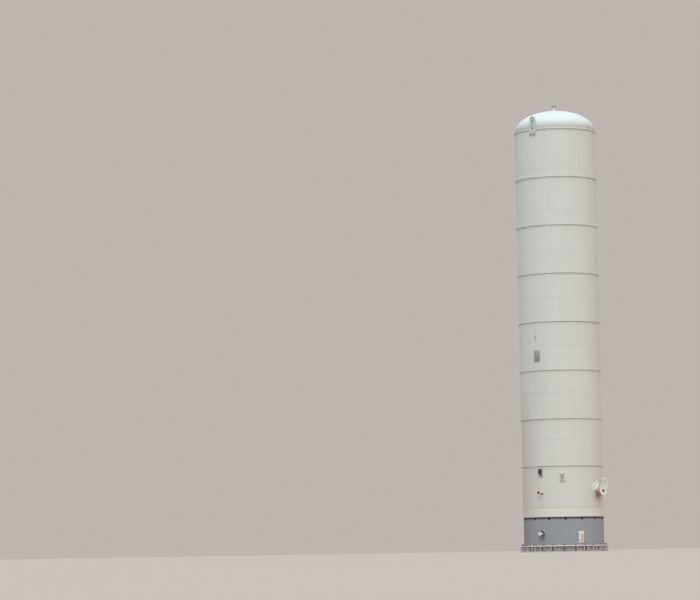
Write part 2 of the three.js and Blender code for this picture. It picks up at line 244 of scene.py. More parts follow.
def newFinish(name, roughness=0.5, metallic=0.0):
    finish = bpy.data.materials.new(name)
    finish.use_nodes = True
    shader = finish.node_tree.nodes["Principled BSDF"]
    shader.inputs["Roughness"].default_value = roughness
    shader.inputs["Metallic"].default_value = metallic
    return finish, finish.node_tree, shader


def plug(tree, socket, value):
    if isinstance(value, bpy.types.NodeSocket):
        tree.links.new(value, socket)
    else:
        socket.default_value = (*value, 1) if socket.type == "RGBA" else value


def addNode(tree, kind, inputs=(), **settings):
    # inputs: sockets or plain values, in order or by name or number
    node = tree.nodes.new("ShaderNode" + kind)
    for key, value in settings.items():
        setattr(node, key, value)
    for key, value in inputs.items() if isinstance(inputs, dict) else enumerate(inputs):
        plug(tree, node.inputs[key], value)
    return node


def maths(tree, operation, a, b=0.0):
    return addNode(tree, "Math", (a, b), operation=operation).outputs[0]


def product(tree, first, *others):
    for other in others:
        first = maths(tree, "MULTIPLY", first, other)
    return first


def blend(tree, factor, a, b, mode="MIX"):
    # inputs 6 and 7 and output 2 of a mix are its colours
    return addNode(tree, "Mix", {0: factor, 6: a, 7: b}, data_type="RGBA", blend_type=mode).outputs[2]


def objectPoint(tree, scale=(1, 1, 1), turn=0.0):
    source = addNode(tree, "TexCoord").outputs["Object"]
    return addNode(tree, "Mapping", {"Vector": source, "Rotation": (0, 0, turn), "Scale": scale}).outputs[0]


def noise(tree, scale, stretch=(1, 1, 1), detail=3.0, roughness=0.5):
    point = objectPoint(tree, stretch)
    inputs = {"Vector": point, "Scale": scale, "Detail": detail, "Roughness": roughness}
    return addNode(tree, "TexNoise", inputs).outputs["Fac"]


def fade(tree, value, low, high, start=0.0, end=1.0):
    # start at low, end at high, held outside them
    return addNode(tree, "MapRange", (value, low, high, start, end), interpolation_type="SMOOTHSTEP").outputs[0]


def heightOf(tree):
    return addNode(tree, "SeparateXYZ", [objectPoint(tree)]).outputs["Z"]


def acrossFrom(tree, azimuth):
    # sideways distance from the wall's line at an azimuth; points on the far half count as far away
    farAway = 20.0
    turned = addNode(tree, "SeparateXYZ", [objectPoint(tree, turn=-math.radians(azimuth))]).outputs
    behind = maths(tree, "GREATER_THAN", turned["Y"], 0.0)
    return maths(tree, "ADD", turned["X"], product(tree, behind, farAway))


def between(tree, value, low, high):
    # 1 between two numbers, 0 outside them
    return product(tree, maths(tree, "GREATER_THAN", value, low), maths(tree, "LESS_THAN", value, high))


def addBump(tree, shader, height, distance):
    bump = addNode(tree, "Bump", {"Strength": 1.0, "Distance": distance, "Height": height})
    tree.links.new(bump.outputs[0], shader.inputs["Normal"])


# the paint's unevenness: noise scale, stretch, detail and roughness
grain = dict(
    mottle=(0.55, (1, 1, 0.6), 3.0),
    streaks=(3.2, (1, 1, 0.045), 5.0, 0.6),
    runs=(7.0, (1, 1, 0.03), 4.0, 0.65),
    specks=(60.0, (1, 1, 0.7), 2.0),
    gloss=(4.0, (1, 1, 0.3)),
    waves=(1.1, (1, 1, 1), 2.0),
    peel=(160.0, (1, 1, 1), 2.0),
    ragged=(5.0, (1.6, 1.6, 0.22), 4.0),
)
stain = dict(core=0.15, edge=0.62, ragged=0.35, topSoft=(-0.02, 0.03))  # core, edge and ragged are shares


def addStain(tree, colour, azimuth, top, width, length, tint, strength, drift=0.0):
    # a run of rust or dirt that starts at a height and fades downwards in uneven streaks
    below = maths(tree, "SUBTRACT", top, heightOf(tree))
    centre = product(tree, below, drift)
    across = maths(tree, "ABSOLUTE", maths(tree, "SUBTRACT", acrossFrom(tree, azimuth), centre))
    shift = stain["ragged"] * width
    spread = maths(tree, "ADD", across, fade(tree, noise(tree, *grain["ragged"]), 0.3, 0.7, shift, -shift))
    sides = fade(tree, spread, width * stain["core"], width * stain["edge"], 1, 0)
    start = fade(tree, below, *stain["topSoft"])
    end = fade(tree, below, length * stain["core"], length, 1, 0)
    return blend(tree, product(tree, sides, start, end, strength), colour, tint)


def addBand(tree, colour, low, high, soft, tint, strength):
    # a soft-edged level band all the way round
    height = heightOf(tree)
    lower = fade(tree, height, low - soft, low + soft)
    upper = fade(tree, height, high - soft, high + soft, 1, 0)
    return blend(tree, product(tree, lower, upper, strength), colour, tint)


def addSideDarkening(tree, colour, azimuth, reach, low, high, tint, strength):
    # darker down one side, more so lower down
    sides = fade(tree, maths(tree, "ABSOLUTE", acrossFrom(tree, azimuth)), reach * 0.25, reach, 1, 0)
    lower = fade(tree, heightOf(tree), low, high, strength, 0)
    return blend(tree, product(tree, sides, lower), colour, tint)


# Weathered paint: mottled, faintly streaked downwards, soiled along rings and seams; its edge lines and bands also
# carry painted shade and painted light where given
paintLook = dict(
    # low and high: colours at the two heights of between
    low=(0.582, 0.582, 0.558), high=(0.576, 0.608, 0.585), between=(4.0, 20.0), dirt=(0.36, 0.34, 0.3),
    speck=(0.24, 0.12, 0.06), dirtWidth=(0.008, 0.05), runs=0.03, streaks=0.07, mottle=0.05,
    roughness=(0.42, 0.62), peel=0.03, bump=0.012,
)


def weatheredPaint(name, look, edges=(), stains=(), reach=0.9, bands=(), sideDarkening=()):
    # edges: the level and the strength of each dark line: dirt at rings and seams, with painted shade added at the
    # dome's foot and painted shadow under the skirt's ledge
    finish, tree, shader = newFinish(name)
    height = heightOf(tree)
    colour = blend(tree, fade(tree, height, *look["between"]), look["low"], look["high"])
    clouds = blend(tree, noise(tree, *grain["mottle"]), (0.2, 0.2, 0.19), (1, 1, 0.97))
    colour = blend(tree, look["mottle"], colour, clouds, "OVERLAY")
    narrow = fade(tree, noise(tree, *grain["streaks"]), 0.42, 0.75)
    colour = blend(tree, product(tree, narrow, look["streaks"]), colour, look["dirt"])
    runs = fade(tree, noise(tree, *grain["runs"]), 0.48, 0.7)
    for level, dirt in edges:
        below = maths(tree, "SUBTRACT", level, height)
        under = maths(tree, "GREATER_THAN", below, 0.0)
        run = product(tree, fade(tree, below, 0.0, reach, 1, 0), under, runs, look["runs"])
        close = fade(tree, maths(tree, "ABSOLUTE", below), *look["dirtWidth"], dirt, 0)
        colour = blend(tree, maths(tree, "MAXIMUM", run, close), colour, look["dirt"])
    specks = fade(tree, noise(tree, *grain["specks"]), 0.76, 0.82, 0, 0.5)
    colour = blend(tree, specks, colour, look["speck"])
    for sideDark in sideDarkening:
        colour = addSideDarkening(tree, colour, *sideDark)
    for band in bands:
        colour = addBand(tree, colour, *band)
    for run in stains:
        colour = addStain(tree, colour, *run)
    tree.links.new(colour, shader.inputs["Base Color"])
    gloss = fade(tree, noise(tree, *grain["gloss"]), 0.3, 0.7, *look["roughness"])
    tree.links.new(gloss, shader.inputs["Roughness"])
    peel = product(tree, noise(tree, *grain["peel"]), look["peel"])
    addBump(tree, shader, maths(tree, "ADD", noise(tree, *grain["waves"]), peel), look["bump"])
    return finish


def bareSteel(name, colour, worn, roughness=0.8, metallic=0.0, scale=14.0):
    finish, tree, shader = newFinish(name, roughness, metallic)
    patches = fade(tree, noise(tree, scale, (1, 1, 1), 5.0, 0.6), 0.4, 0.62)
    tree.links.new(blend(tree, patches, colour, worn), shader.inputs["Base Color"])
    addBump(tree, shader, noise(tree, scale * 9, (1, 1, 1), 3.0), 0.002)
    return finish


ringCount = 8
ringHeights = []
for i in range(ringCount):
    suffix = "_left" if i == ringCount - 1 else ""
    low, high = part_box(f"support_ring_{i + 1}{suffix}")
    ringHeights.append((low[2] + high[2]) / 2)


def plainLook(colour, **changes):
    return dict(paintLook, low=colour, high=colour, **changes)


def plainPaint(name, colour, stains=(), **changes):
    return weatheredPaint(name, plainLook(colour, **changes), stains=stains)


matt = (0.6, 0.8)
# the dome's colour, greyer at its foot and bluish white higher up, is painted light from the sky overhead
domeLook = dict(
    paintLook, low=(0.5, 0.54, 0.53), high=(0.665, 0.775, 0.79), between=(24.3, 24.87), streaks=0.04, mottle=0.03,
)
skirtLook = plainLook(
    (0.265, 0.288, 0.325), dirt=(0.17, 0.14, 0.125), runs=0.1, streaks=0.08, mottle=0.08, roughness=matt,
)
rust = (0.36, 0.125, 0.05)
brown = (0.36, 0.27, 0.2)
tan = (0.5, 0.41, 0.33)
# stains: azimuth, top, width, length, tint, strength and drift
manwayStains = [
    (61, 3.2, 1.2, 1.6, tan, 0.35, 0.1), (61.5, 3.12, 0.3, 0.8, brown, 0.4, 0.2),
    (59.2, 3.42, 0.8, 0.52, rust, 1.0),
]
# brown over the neck's lower half: painted shade; then rust running down from under the neck
neckShadeAndRust = [(58.4, 3.5, 1.6, 1.0, brown, 0.7), (58.4, 3.4, 1.4, 0.7, rust, 1.0)]
padStains = [(59.4, 3.4, 0.8, 0.7, rust, 1.0)]
coverStains = [(56, 3.95, 0.9, 0.55, (0.58, 0.47, 0.36), 0.6)]
drainStains = [(-35.4, 3.12, 0.2, 0.4, (0.3, 0.28, 0.26), 0.35), (-31.4, 3.33, 0.2, 0.18, (0.3, 0.14, 0.09), 0.9)]
plateMarks = [(-36.6, 12.34, 0.09, 0.5, (0.27, 0.23, 0.22), 0.7), (-36.3, 12.7, 0.08, 0.35, (0.34, 0.34, 0.33), 0.5)]
plateCourse = 4  # the course behind the nameplate
pipeStains = [(-31.2, 3.36, 0.5, 0.6, (0.34, 0.15, 0.115), 0.95)]
upperStains = [(64, 2.95, 1.1, 1.0, tan, 0.2)]
# a dark brown patch fading downwards under the outlet pipe
outletDarkPatch = [(-33, 0.9, 0.36, 0.45, (0.14, 0.1, 0.085), 0.7)]
# bands: low, high, softness, tint and strength; on the skirt, the dark band under the ledge is painted shadow and the
# light band at the foot is painted light against the shade under the compression ring
skirtShadowAndLight = [(1.85, 2.1, 0.07, (0.068, 0.042, 0.044), 1.0), (-1.0, 0.27, 0.06, (0.46, 0.44, 0.43), 0.9)]
# a greyer band at the top of the last course, just under the dome's foot: painted shade
domeFootShade = [(24.285, 24.5, 0.02, (0.42, 0.45, 0.43), 0.5)]
# side darkening: azimuth, reach, low, high, tint and strength; down the shell's left side it is darker and browner
# lower down, down the skirt's left and right sides it is painted shade
leftDarkening = [(-72, 1.7, 2.5, 13.0, (0.46, 0.39, 0.34), 0.4)]
skirtSideShade = [(-86, 1.7, 2.0, 6.0, (0.18, 0.16, 0.17), 0.45), (85, 1.1, 2.0, 6.0, (0.28, 0.26, 0.275), 0.6)]
# level and strength of a dark line: seam dirt with painted shade at the dome's foot, painted shadow under the skirt's
# ledge
domeFoot, skirtTop = (24.335, 0.45), (1.95, 0.35)

domePaint = weatheredPaint("dome_white_paint", domeLook, [domeFoot])
ringPaint = weatheredPaint("ring_paint", dict(paintLook, streaks=0.2))
weldPaint = weatheredPaint("weld_paint", dict(paintLook, low=(0.52, 0.51, 0.47), high=(0.51, 0.53, 0.5)))
skirtPaint = weatheredPaint("grey_primer", skirtLook, [skirtTop], outletDarkPatch, 0.3, skirtShadowAndLight, skirtSideShade)
brightPaint = plainPaint("bright_white_paint", (0.76, 0.77, 0.74))
whitePaint = plainPaint("white_paint", (0.7, 0.65, 0.65))
greenWhite = plainPaint("pale_green_paint", (0.68, 0.74, 0.67), padStains)
neckPaint = plainPaint("manway_neck_paint", (0.68, 0.7, 0.63), neckShadeAndRust)
coverPaint = plainPaint("manway_cover_paint", (0.72, 0.79, 0.7), coverStains)
drainPaint = plainPaint("drain_paint", (0.72, 0.66, 0.65), pipeStains)
capPaint = plainPaint("cap_cream_paint", (0.78, 0.74, 0.68))
lugPaint = plainPaint("lug_paint", (0.52, 0.54, 0.52), streaks=0.1)
lugShade = plainPaint("lug_grey", (0.24, 0.255, 0.25), streaks=0.2)
earthPaint = plainPaint("earth_lug_paint", (0.52, 0.5, 0.47))
sleevePaint = plainPaint("sleeve_paint", (0.44, 0.38, 0.37), roughness=matt)
ringEdgePaint = plainPaint("chair_ring_paint", (0.66, 0.61, 0.625), roughness=matt)
# the gussets' grey is lighter than the skirt's: painted light against the shade under the compression ring
chairPaint = plainPaint("chair_paint", (0.52, 0.49, 0.48), roughness=matt)
baseEdgePaint = plainPaint("base_plate_paint", (0.46, 0.41, 0.37), roughness=matt)
nutSteel = bareSteel("nut_steel", (0.3, 0.29, 0.285), (0.22, 0.17, 0.15), 0.6, 0.2)
darkSteel = bareSteel("dark_steel", (0.035, 0.03, 0.028), (0.09, 0.06, 0.045), 0.6, 0.2)
blackPaint = bareSteel("black_paint", (0.006, 0.005, 0.005), (0.018, 0.013, 0.011), 0.7)
barBrown = bareSteel("brown_bar", (0.28, 0.25, 0.22), (0.21, 0.17, 0.145))
rimBrown = bareSteel("brown_rim", (0.15, 0.12, 0.105), (0.18, 0.145, 0.125))
packingDark = bareSteel("packing", (0.17, 0.13, 0.12), (0.11, 0.08, 0.075), 0.85)
boxGrey = bareSteel("grey_box", (0.29, 0.28, 0.255), (0.34, 0.33, 0.31), 0.7)
barGrey = bareSteel("grey_bar", (0.46, 0.44, 0.41), (0.4, 0.37, 0.34), 0.7)
spotGreen = bareSteel("dark_green_disc", (0.07, 0.1, 0.08), (0.1, 0.125, 0.105), 0.6)
rustySteel = bareSteel("rusted_steel", (0.23, 0.12, 0.075), (0.13, 0.055, 0.03), 0.85, 0.1, 20.0)
capSteel = bareSteel("cap_brown", (0.31, 0.235, 0.185), (0.25, 0.18, 0.135), 0.85, 0.0, 20.0)
gasketGrey = bareSteel("gasket", (0.06, 0.06, 0.065), (0.1, 0.1, 0.1))
print("finishes made")


# Shell courses with their seams
course = dict(
    count=8, wall=0.05, bead=0.004, beadHalf=0.012, uprightSeams=2, seamGap=0.03, seamEdge=0.0025, firstSeam=20,
    seamTurn=47, dirtBelow=0.5, dirtAbove=0.9, ringDirt=0.12, seamDirt=0.1,
)
manway = dict(
    azimuth=58.4, height=3.545, bore=0.293, neck=0.305, flange=0.4065, back=2.6, face=2.65, coverBack=2.655,
    coverFace=2.703, boltCircle=0.3747, bolts=20, boltHole=0.0175, stud=0.015, nut=0.05, pad=0.46, padThick=0.016,
    padWeld=0.012, root=0.055, seat=0.092, edge=0.003,
)
for index in range(1, course["count"] + 1):
    low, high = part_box(f"shell_course_{index}")
    bottom, top, outer = low[2], high[2], shellRadius
    inner = outer - course["wall"]
    lift, half = course["bead"], course["beadHalf"]
    bm = bmesh.new()
    addSpin(bm, [
        (inner, bottom), (outer, bottom), (outer, top - half * 1.6), (outer, top - half),
        (outer + lift * 0.8, top - half / 2), (outer + lift, top - proud), (inner, top - proud),
    ], steps=fineSteps)
    rings = [z for z in ringHeights if bottom - course["dirtBelow"] < z < top + course["dirtAbove"]]
    if index == 1:
        rings.append(bottom)
    edges = [(level, course["ringDirt"]) for level in rings] + [(top, course["seamDirt"])]
    stains = {1: manwayStains + drainStains, plateCourse: plateMarks}.get(index, [])
    bands = domeFootShade if index == course["count"] else []
    paint = weatheredPaint(f"shell_paint_{index}", paintLook, edges, stains, bands=bands, sideDarkening=leftDarkening)
    obj = addPiece(f"shell_skin_{index}", bm, paint, nodes=[f"shell_course_{index}"])
    if index == 1:
        cutHoles(obj, [(manway["neck"] + proud, *cutReach, placeOf(manway), nozzleSteps)])
    seams = bmesh.new()
    for side in range(course["uprightSeams"]):
        azimuth = course["firstSeam"] + index * course["seamTurn"] + side * 180
        size = (2 * half, top - bottom - course["seamGap"], 2 * lift)
        addBlock(seams, size, (0, 0, outer + proud), wallFrame(azimuth, (bottom + top) / 2), course["seamEdge"])
    addPiece(f"upright_seams_{index}", seams, weldPaint)
print("shell courses made")


# Heads, a half ellipse each
head = dict(depth=1.175, wall=0.05, steps=40, topNeck=0.084, bottomNeck=0.057, neckGap=0.001)


def headArc(radius, depth, crown):
    last = math.acos(crown / radius)
    angles = [last * i / head["steps"] for i in range(head["steps"] + 1)]
    return [(radius * math.cos(a), depth * math.sin(a)) for a in angles]


def makeHead(name, crown, place, finish, slotName):
    wall, hole = head["wall"], crown + head["neckGap"]
    outside = headArc(shellRadius, head["depth"], hole)
    inside = headArc(shellRadius - wall, head["depth"] - wall, hole)
    bm = bmesh.new()
    addSpin(bm, outside + inside[::-1], place, fineSteps)
    addPiece(f"{name}_skin", bm, finish, slotName, [name])


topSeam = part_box("top_head")[0][2]
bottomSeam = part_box("bottom_head")[1][2]
above = Matrix.Translation((0, 0, topSeam))
makeHead("top_head", head["topNeck"], above, domePaint, "dome_white_paint")
flipped = Matrix.Translation((0, 0, bottomSeam)) @ Matrix.Rotation(math.pi, 4, "X")
makeHead("bottom_head", head["bottomNeck"], flipped, ringPaint, "off_white_paint")
print("heads made")


# Support rings: a flat bar on edge with a fillet weld above and below
ring = dict(width=0.07, thick=0.012, fillet=0.007, edge=0.0015)
lug = dict(
    azimuth=-32.8, width=0.445, foot=23.885, shoulder=24.33, top=24.98, thick=0.05, corner=0.03, headRadius=0.165,
    eye=0.058, eyeHeight=24.797, cheek=0.115, cheekRise=0.016, weep=0.043, weepHeight=24.257, rib=0.022,
    ribRise=0.012, ribOut=0.05, ribSpan=(24.307, 24.692), toe=(0.075, 0.1, 0.03), toeOut=0.115, toeUp=0.055,
    weld=0.014, sink=0.001,
)
inner, outer, edge = shellRadius, shellRadius + ring["width"], ring["edge"]
half, fillet = ring["thick"] / 2, ring["fillet"]
for index, level in enumerate(ringHeights, start=1):
    under, over, belly = level - half, level + half, inner + fillet * 0.6
    bm = bmesh.new()
    addSpin(bm, [
        (inner, under - fillet), (belly, under - fillet * 0.4), (inner + fillet, under), (outer - edge, under),
        (outer, under + edge), (outer, over - edge), (outer - edge, over), (inner + fillet, over),
        (belly, over + fillet * 0.4), (inner, over + fillet),
    ], steps=fineSteps)
    nodes = [f"support_ring_{index}"]
    if index == ringCount:
        # the top ring stops at both lugs
        nodes = [f"support_ring_{index}_left", f"support_ring_{index}_right"]
        gap = (lug["width"] + 2 * ring["thick"]) / 2
        turn = math.radians(lug["azimuth"])
        across = Vector((math.cos(turn), math.sin(turn), 0))
        for side in (-1, 1):
            geom = bm.verts[:] + bm.edges[:] + bm.faces[:]
            cut = {"plane_co": across * gap * side, "plane_no": across * side}
            bmesh.ops.bisect_plane(bm, geom=geom, dist=mergeGap, **cut)
        inGap = [f for f in bm.faces if abs(f.calc_center_median().dot(across)) < gap]
        bmesh.ops.delete(bm, geom=inGap, context="FACES")
        bmesh.ops.holes_fill(bm, edges=[e for e in bm.edges if e.is_boundary], sides=0)
    addPiece(f"ring_bar_{index}", bm, ringPaint, nodes=nodes)
print("rings made")


# Skirt: the white upper band, its ledge and the grey lower plate with its openings
skirt = dict(
    plate=0.02, upperPlate=0.016, seamRise=0.004, seamFoot=0.026, lap=0.006, lapDepth=0.1, ledge=2.316,
    ledgeLow=1.9763, ledgeHigh=2.07, ledgeEdge=0.004, slope=(0.01, 0.012), vents=15, ventRadius=0.062,
    ventHeight=1.868, firstVent=3.0, dirtReach=0.4,
)
bm = bmesh.new()
inner, low, rise = shellRadius - skirt["upperPlate"], skirt["ledgeHigh"] - 0.001, skirt["seamRise"]
addSpin(bm, [
    (inner, low), (shellRadius, low), (shellRadius, bottomSeam - skirt["seamFoot"]),
    (shellRadius, bottomSeam - 5 * rise), (shellRadius + rise, bottomSeam - 2 * rise),
    (shellRadius + rise, bottomSeam - proud), (inner + skirt["lap"], bottomSeam - proud),
    (inner, bottomSeam - skirt["lapDepth"]),
], steps=fineSteps)
upperLook = plainLook((0.625, 0.615, 0.575))
upperPaint = weatheredPaint(
    "upper_skirt_paint", upperLook, [(bottomSeam, 0.4)], upperStains, reach=skirt["dirtReach"], sideDarkening=leftDarkening,
)
addPiece("upper_skirt_skin", bm, upperPaint, nodes=["upper_skirt"])

bm = bmesh.new()
inner, edge = skirtRadius - skirt["plate"], skirt["ledgeEdge"]
outer, low, high = skirt["ledge"], skirt["ledgeLow"], skirt["ledgeHigh"]
slopeWidth, slopeTall = skirt["slope"]
addSpin(bm, [
    (inner, low), (outer - edge, low), (outer, low + edge), (outer, high - slopeTall), (outer - slopeWidth, high),
    (inner, high),
], steps=fineSteps)
addPiece("skirt_ledge", bm, upperPaint)

# backBolts and frontBolts: where studs and nuts start and end, from the flange's back and the blind's face
smallEnd = dict(
    coverEdge=0.003, stud=0.008, nut=0.025, backBolts=((-0.024, 0), (-0.014, 0)), frontBolts=((0, 0.022), (0, 0.014)),
)
outlet = dict(
    smallEnd, azimuth=-31.4, height=1.03, bore=0.05, neck=0.057, flange=0.1145, back=2.576, face=2.6,
    coverFace=2.624, boltCircle=0.0953, bolts=8, start=0.4, bend=0.152, headGap=0.01,
)
sleeve = dict(azimuth=-31.4, height=1.03, radius=0.2, wall=0.01, inner=2.23, outer=2.36, weld=0.012)
access = dict(azimuth=180, height=1.05, radius=0.312, wall=0.012, inner=2.215, outer=2.37, weld=0.012)
low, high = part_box("lower_skirt_front")
bm = bmesh.new()
addSpin(bm, [(inner, low[2]), (skirtRadius, low[2]), (skirtRadius, high[2]), (inner, high[2])], steps=fineSteps)
halves = ["lower_skirt_front", "lower_skirt_back"]
holes = [(spec["radius"], *cutReach, placeOf(spec), nozzleSteps) for spec in (sleeve, access)]
for i in range(skirt["vents"]):
    azimuth = skirt["firstVent"] + i * 360 / skirt["vents"]
    holes.append((skirt["ventRadius"], *cutReach, wallFrame(azimuth, skirt["ventHeight"]), 24))
cutHoles(addPiece("lower_skirt_skin", bm, skirtPaint, "grey_primer", halves), holes)

for name, spec, paint in (("pipe_sleeve", sleeve, sleevePaint), ("access_collar", access, skirtPaint)):
    bm = bmesh.new()
    place = placeOf(spec)
    addTube(bm, spec["radius"] - spec["wall"], spec["radius"], spec["inner"], spec["outer"], place)
    addFillet(bm, spec["radius"], skirtRadius, spec["weld"], place, skirtRadius)
    addPiece(f"{name}_skin", bm, paint, "grey_primer", [name])
print("skirt made")


# Base ring: plate, compression ring, gussets, and an anchor bolt in each chair
base = dict(
    inner=2.2, outer=2.54, plate=0.05, edge=0.004, ringOuter=2.5, ringLow=0.312, ringHigh=0.357, chairs=24,
    gusset=0.02, spread=0.2, inset=0.012, weld=0.012, bolt=0.024, boltCircle=2.405, boltTop=0.47, washer=0.11,
    washerThick=0.016, nut=0.075, nuts=((0.016, 0.054), (0.055, 0.08)),
)
ringLow, ringHigh = base["ringLow"], base["ringHigh"]
bm = bmesh.new()
addTube(bm, base["inner"], base["outer"], 0, base["plate"], steps=fineSteps, chamfer=base["edge"])
addPiece("base_plate_skin", bm, baseEdgePaint, "grey_primer", ["base_ring"])
bm = bmesh.new()
addTube(bm, skirtRadius + proud, base["ringOuter"], ringLow, ringHigh, steps=fineSteps, chamfer=base["edge"])
addSpin(bm, [
    (skirtRadius, ringHigh + base["weld"]), (skirtRadius, ringHigh), (skirtRadius + base["weld"], ringHigh),
], steps=fineSteps)
addPiece("chair_ring_skin", bm, ringEdgePaint, "grey_primer", ["anchor_chairs"])

gussets, bolts = bmesh.new(), bmesh.new()
depth = base["ringOuter"] - base["inset"] - skirtRadius
height = ringLow - base["plate"] + 0.002
for i in range(base["chairs"]):
    azimuth = i * 360 / base["chairs"]
    for side in (-1, 1):
        middle = (side * base["spread"] / 2, 0, skirtRadius + depth / 2)
        size = (base["gusset"], height, depth)
        addBlock(gussets, size, middle, wallFrame(azimuth, (ringLow + base["plate"]) / 2), 0.002)
    place = Matrix.Translation(wallFrame(azimuth, 0, base["boltCircle"]).translation)
    addRod(bolts, base["bolt"], base["plate"], base["boltTop"], place, 16, 0.004)
    washer, thick = base["washer"], base["washerThick"]
    turned = place @ Matrix.Rotation(math.radians(azimuth), 4, "Z")
    addBlock(bolts, (washer, washer, thick), (0, 0, ringHigh + thick / 2), turned)
    for start, end in base["nuts"]:
        addNut(bolts, base["nut"], ringHigh + start, ringHigh + end, place)
addPiece("chair_gussets", gussets, chairPaint, "grey_primer")
addPiece("anchor_bolts", bolts, nutSteel, "dark_steel")
print("base ring made")


# Nozzles: a welding-neck flange on each, studs through it and a blind over it
hub = dict(start=0.034, turn=0.03, rise=0.012, edge=0.002)


def boltSpots(spec, at, place):
    # a frame on the axis of each bolt
    turns = [Matrix.Rotation(math.tau * (i + 0.5) / spec["bolts"], 4, "Z") for i in range(spec["bolts"])]
    return [place @ turn @ Matrix.Translation((spec["boltCircle"], 0, at)) for turn in turns]


def makeBolts(name, spec, rows, place, finish, slotName="off_white_paint", body="vessel"):
    # rows: a level, and where the studs and the nuts start and end from there
    bm = bmesh.new()
    for at, stud, nut in rows:
        for spot in boltSpots(spec, at, place):
            addRod(bm, spec["stud"], *stud, spot, 10, 0.0015)
            addNut(bm, spec["nut"], *nut, spot)
    addPiece(name, bm, finish, slotName, body=body)


def makeNozzle(names, spec, pipe, blind, bolts, nodes, place=upright):
    # pipe, blind and bolts: finish and slot; the last node is the blind's
    bore, neck, flange, back, face, start = (spec[k] for k in ("bore", "neck", "flange", "back", "face", "start"))
    bm = bmesh.new()
    addSpin(bm, [
        (bore, start), (neck, start), (neck, back - hub["start"]), (neck, back - hub["turn"]),
        (neck + hub["rise"], back), (flange - hub["edge"], back), (flange, back + hub["edge"]), (flange, face),
        (bore, face),
    ], place)
    if "boss" in spec:
        addFillet(bm, neck, shellRadius, spec["weld"], place)
        addSpin(bm, spec["boss"], place)
    if "bend" in spec:
        # an elbow inside the skirt, up to the bottom head
        crown = bottomSeam - head["depth"] + head["wall"] + spec["headGap"]
        elbow = [(0, crown - spec["height"], 0), (0, 0, 0), (0, 0, start + 0.001)]
        addBend(bm, neck, elbow, spec["bend"], place, 24, 10)
    if "crownWeld" in spec:
        crown, (wide, tall) = topSeam + head["depth"], spec["crownWeld"]
        addSpin(bm, [(neck, crown - 0.004), (neck + wide, crown - 0.004), (neck, crown + tall)])
    addPiece(names[0], bm, *pipe, nodes[:-1])
    bm = bmesh.new()
    addRod(bm, flange, face + 0.0003, spec["coverFace"], place, nozzleSteps, spec["coverEdge"])
    addPiece(names[1], bm, *blind, nodes[-1:])
    rows = [(back, *spec["backBolts"]), (spec["coverFace"], *spec["frontBolts"])]
    makeBolts(names[2], spec, rows, place, *bolts)


top = dict(
    bore=0.073, neck=0.084, flange=0.14, back=25.7, face=25.73, coverFace=25.815, coverEdge=0.006, boltCircle=0.1205,
    bolts=8, stud=0.0095, nut=0.03, start=25.435, crownWeld=(0.014, 0.012), backBolts=((-0.035, 0), (-0.02, 0)),
    frontBolts=((-0.005, 0.023), (0, 0.017)),
)
cap = (capSteel, "rusted_steel")
makeNozzle(
    ["top_nozzle_skin", "top_cover_disc", "top_nozzle_bolts"], top, (capPaint, "dome_white_paint"), cap, cap,
    ["top_nozzle", "top_nozzle_cover"],
)


# Lifting lugs: a round-topped plate with a cheek ring at its eye and two ribs below it
def makeLug(name, azimuth):
    place = wallFrame(azimuth, 0)
    eyePlace, weepPlace = wallFrame(azimuth, lug["eyeHeight"]), wallFrame(azimuth, lug["weepHeight"])
    foot, shoulder, sink = lug["foot"], lug["shoulder"], lug["sink"]
    half, radius, corner = lug["width"] / 2, lug["headRadius"], lug["corner"]
    wallFace = shellRadius + proud
    face = wallFace + lug["thick"]
    turns = [math.pi * i / 24 for i in range(25)]
    outline = [
        (half - corner, foot), (half, foot + corner), (half, shoulder),
        *((radius * math.cos(a), lug["top"] - radius + radius * math.sin(a)) for a in turns),
        (-half, shoulder), (-half, foot + corner), (-half + corner, foot),
    ]
    bm = bmesh.new()
    plate = bm.faces.new([bm.verts.new((x, y, wallFace)) for x, y in outline])
    grown = bmesh.ops.extrude_face_region(bm, geom=[plate])["geom"]
    lifted = only(grown, bmesh.types.BMVert)
    bmesh.ops.translate(bm, vec=(0, 0, lug["thick"]), verts=lifted)
    bevelEdges(bm, [e for e in bm.edges if all(v in lifted for v in e.verts)], 0.004)
    bmesh.ops.transform(bm, matrix=place, verts=bm.verts)
    obj = addPiece(name, bm, lugPaint, nodes=[f"lifting_{name}"])
    cutHoles(obj, [(lug["eye"], 2.25, 2.45, eyePlace, 32), (lug["weep"], 2.305, 2.45, weepPlace, 16)])

    bm = bmesh.new()
    addTube(bm, lug["eye"], lug["cheek"], face - sink, face + lug["cheekRise"], eyePlace, 32, 0.004)
    ribLow, ribHigh = lug["ribSpan"]
    ribSize = (lug["rib"], ribHigh - ribLow, lug["ribRise"])
    for side in (-1, 1):
        addBlock(bm, ribSize, (side * lug["ribOut"], (ribHigh + ribLow) / 2, face + lug["ribRise"] / 2 - sink), place)
        toeLevel = face + lug["toe"][2] / 2 - sink
        addBlock(bm, lug["toe"], (side * lug["toeOut"], foot + lug["toeUp"], toeLevel), place, 0.004)
    addPiece(name + "_cheeks", bm, lugShade)
    # a black disc just inside the weep hole: painted shade that darkens the hole
    bm = bmesh.new()
    addRod(bm, lug["weep"] - sink, face - 0.03, face - 0.006, weepPlace, 16)
    addPiece(name + "_hole_shade", bm, blackPaint, "dark_steel")

    bm = bmesh.new()
    weld, seamTop = lug["weld"], shoulder - 0.03
    for side in (-1, 1):
        middle = (side * half, (foot + seamTop) / 2, shellRadius + 0.002)
        addBlock(bm, (weld, seamTop - foot, weld), middle, place, 0.004)
    addBlock(bm, (lug["width"], weld, weld), (0, foot, shellRadius + 0.004), place, 0.004)
    addPiece(name + "_welds", bm, weldPaint)


makeLug("lug_front", lug["azimuth"])
makeLug("lug_back", lug["azimuth"] + 180)
print("lugs made")


